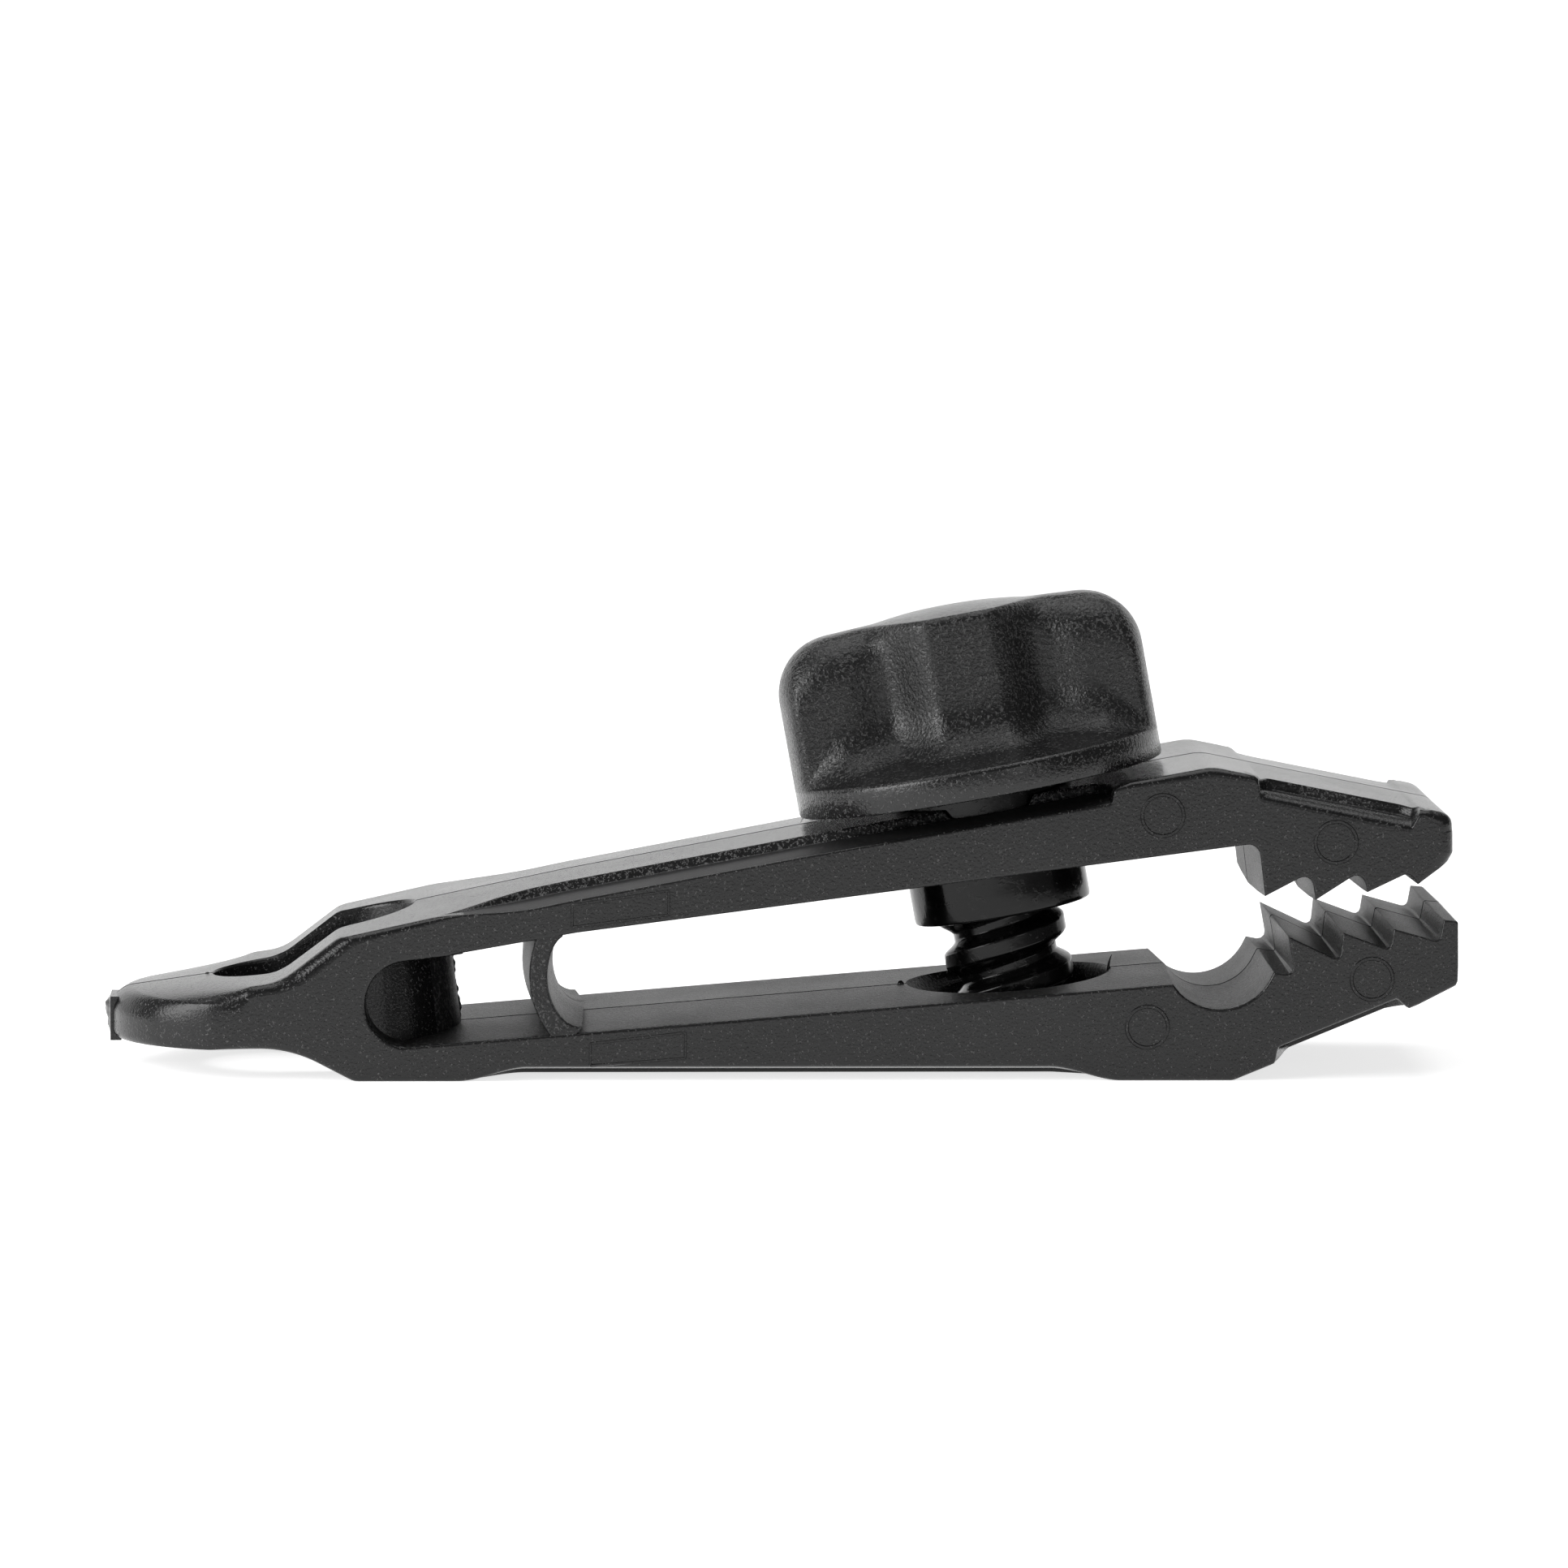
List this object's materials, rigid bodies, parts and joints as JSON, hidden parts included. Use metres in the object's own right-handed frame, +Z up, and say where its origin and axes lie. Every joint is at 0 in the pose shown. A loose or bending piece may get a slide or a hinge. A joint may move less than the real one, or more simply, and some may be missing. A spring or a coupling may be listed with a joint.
{
  "type": "tarp clip",
  "caption": "Long moulded clip with springy arms, toothed jaws, a rope eye and a wing screw that draws the jaws together on the edge of a tarpaulin.",
  "frame": {"origin": "on the ground, under the middle of the clip's length and width, lying on its lower arm", "axes": "+X from the rope eye to the jaws, +Y across the clip, +Z up"},
  "size_m": [0.11, 0.0302, 0.039],
  "materials": {
    "body_nylon": "fine spark-eroded grain",
    "knob_nylon": "coarse leathery grain",
    "screw_nylon": "smooth"
  },
  "bodies": {
    "clip_base": {"rope_eye": "body_nylon", "lower_arm": "body_nylon", "flex_web": "body_nylon"},
    "upper_jaw": {"upper_arm": "body_nylon"},
    "clamp_screw": {"wing_knob": "knob_nylon", "screw_shank": "screw_nylon", "screw_thread": "screw_nylon"}
  },
  "joints": [
    {"name": "jaw_close", "type": "hinge", "parent": "clip_base", "child": "upper_jaw", "pos_m": [-0.0258, 0, 0.0068], "axis": [0, 1, 0], "range_deg": [0, 2.14], "deforming": ["flex_web"]},
    {"name": "screw_turn", "type": "hinge", "parent": "upper_jaw", "child": "clamp_screw", "pos_m": [0.017, 0, 0.02226], "axis": [0.1805, 0, -0.9836], "range_deg": [0, 165]}
  ],
  "couplings": [
    {"joint": "jaw_close", "follows": "screw_turn", "ratio": 0.012942}
  ]
}
